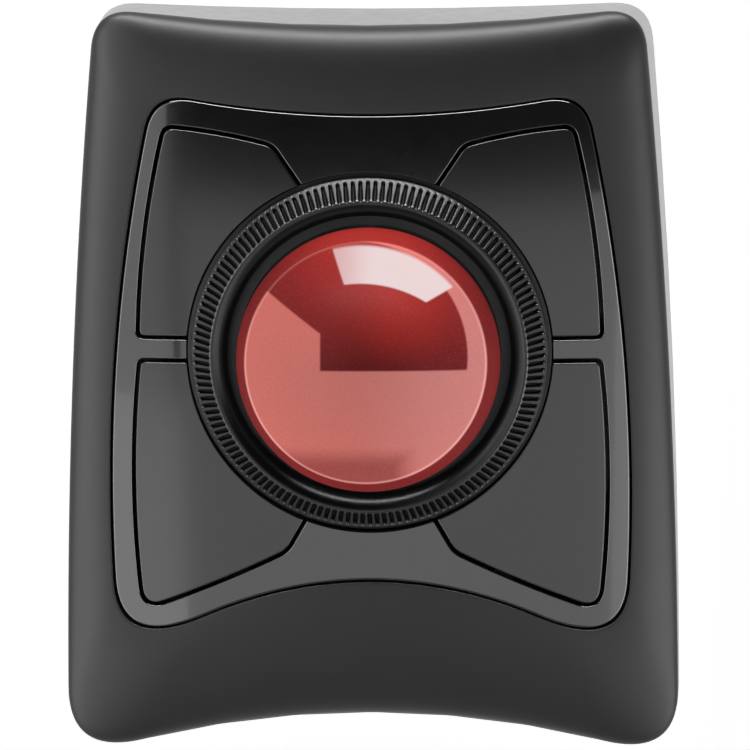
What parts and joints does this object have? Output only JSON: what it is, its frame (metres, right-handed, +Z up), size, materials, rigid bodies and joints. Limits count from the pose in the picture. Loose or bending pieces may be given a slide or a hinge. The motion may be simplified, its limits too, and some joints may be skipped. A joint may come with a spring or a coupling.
{
  "type": "trackball pointing device",
  "caption": "Desktop trackball: wedge case, large ball inside a ribbed scroll ring, press buttons in a black deck plate, battery powered.",
  "frame": {"origin": "on the desk, under the centre of the case's footprint", "axes": "+Z up, +Y to the rear (the high end), +X to the right as the user sees it"},
  "size_m": [0.131, 0.1583, 0.065],
  "materials": {
    "matte_frame": "matte soft-touch",
    "silver_case": "satin painted",
    "gloss_black": "high gloss",
    "button_grey": "satin",
    "ring_black": "satin",
    "ball_red": "metallic flake under a clear gloss coat",
    "black_plastic": "moulded",
    "white_plastic": "moulded",
    "board_green": "solder mask",
    "steel": "plain",
    "bearing_steel": "polished",
    "clear_lens": "clear",
    "cell_sleeve": "printed sleeve, plain",
    "rubber": "matte"
  },
  "bodies": {
    "case": {"top_shell": "matte_frame", "lower_case": "silver_case", "bezel": "gloss_black", "ball_cup": "black_plastic", "bearing_rear": "bearing_steel", "bearing_left": "bearing_steel", "bearing_right": "bearing_steel", "switch_board_left": "board_green", "switch_board_right": "board_green", "switch_upper_left": "black_plastic", "switch_upper_right": "black_plastic", "switch_lower_left": "black_plastic", "switch_lower_right": "black_plastic", "encoder_board": "board_green", "encoder_sensor": "black_plastic", "sensor_board": "board_green", "sensor_chip": "black_plastic", "sensor_lens": "clear_lens", "main_board": "board_green", "controller_chip": "black_plastic", "radio_shield": "steel", "power_switch": "steel", "mode_switch": "steel", "pair_switch": "steel", "battery_front": "cell_sleeve", "battery_rear": "cell_sleeve", "battery_spring_front": "steel", "battery_spring_rear": "steel", "contact_plates": "steel", "foot_rear_left": "rubber", "foot_rear_right": "rubber", "foot_front_left": "rubber", "foot_front_right": "rubber", "case_screws": "steel", "cup_screws": "steel"},
    "upper_left_button": {"button_upper_left": "button_grey"},
    "upper_left_plunger": {"plunger_upper_left": "white_plastic"},
    "lower_left_button": {"button_lower_left": "button_grey"},
    "lower_left_plunger": {"plunger_lower_left": "white_plastic"},
    "upper_right_button": {"button_upper_right": "button_grey"},
    "upper_right_plunger": {"plunger_upper_right": "white_plastic"},
    "lower_right_button": {"button_lower_right": "button_grey"},
    "lower_right_plunger": {"plunger_lower_right": "white_plastic"},
    "ring": {"scroll_ring": "ring_black", "ring_clip": "steel"},
    "ball": {"ball": "ball_red"},
    "power_knob": {"power_knob": "black_plastic"},
    "mode_knob": {"mode_knob": "black_plastic"},
    "pair_button": {"pair_button": "black_plastic"},
    "battery_door": {"battery_door": "silver_case"},
    "receiver": {"usb_receiver": "black_plastic"}
  },
  "joints": [
    {"name": "ball_roll", "type": "hinge", "parent": "case", "child": "ball", "pos_m": [0, 0.00361, 0.0375], "axis": [1, 0, 0], "continuous": true},
    {"name": "ring_turn", "type": "hinge", "parent": "case", "child": "ring", "pos_m": [0, 0.0047, 0.0313], "axis": [0, -0.1736, 0.9848], "continuous": true},
    {"name": "upper_left_press", "type": "hinge", "parent": "case", "child": "upper_left_button", "pos_m": [-0.0412, 0.02846, 0.02899], "axis": [0, 0.9848, 0.1736], "range_deg": [0, 1.6], "stiffness_Nm_per_rad": 0.4},
    {"name": "upper_left_switch", "type": "slide", "parent": "case", "child": "upper_left_plunger", "axis": [0, 0.1736, -0.9848], "range_m": [0, 0.00045]},
    {"name": "lower_left_press", "type": "hinge", "parent": "case", "child": "lower_left_button", "pos_m": [-0.0455, -0.01782, 0.02083], "axis": [0, 0.9848, 0.1736], "range_deg": [0, 1.6], "stiffness_Nm_per_rad": 0.4},
    {"name": "lower_left_switch", "type": "slide", "parent": "case", "child": "lower_left_plunger", "axis": [0, 0.1736, -0.9848], "range_m": [0, 0.00045]},
    {"name": "upper_right_press", "type": "hinge", "parent": "case", "child": "upper_right_button", "pos_m": [0.0412, 0.02846, 0.02899], "axis": [0, -0.9848, -0.1736], "range_deg": [0, 1.6], "stiffness_Nm_per_rad": 0.4},
    {"name": "upper_right_switch", "type": "slide", "parent": "case", "child": "upper_right_plunger", "axis": [0, 0.1736, -0.9848], "range_m": [0, 0.00045]},
    {"name": "lower_right_press", "type": "hinge", "parent": "case", "child": "lower_right_button", "pos_m": [0.0455, -0.01782, 0.02083], "axis": [0, -0.9848, -0.1736], "range_deg": [0, 1.6], "stiffness_Nm_per_rad": 0.4},
    {"name": "lower_right_switch", "type": "slide", "parent": "case", "child": "lower_right_plunger", "axis": [0, 0.1736, -0.9848], "range_m": [0, 0.00045]},
    {"name": "power_slide", "type": "slide", "parent": "case", "child": "power_knob", "axis": [1, 0, 0], "range_m": [0, 0.003]},
    {"name": "mode_slide", "type": "slide", "parent": "case", "child": "mode_knob", "axis": [1, 0, 0], "range_m": [0, 0.003]},
    {"name": "pair_press", "type": "slide", "parent": "case", "child": "pair_button", "axis": [0, 0, 1], "range_m": [0, 0.0004]},
    {"name": "door_lift_off", "type": "slide", "parent": "case", "child": "battery_door", "axis": [0, 0, -1], "range_m": [0, 0.03]},
    {"name": "receiver_pull", "type": "slide", "parent": "case", "child": "receiver", "axis": [0, 0, -1], "range_m": [0, 0.012]}
  ],
  "couplings": [
    {"joint": "upper_left_switch", "follows": "upper_left_press", "m_per_rad": 0.0132},
    {"joint": "lower_left_switch", "follows": "lower_left_press", "m_per_rad": 0.0155},
    {"joint": "upper_right_switch", "follows": "upper_right_press", "m_per_rad": 0.0132},
    {"joint": "lower_right_switch", "follows": "lower_right_press", "m_per_rad": 0.0155}
  ]
}
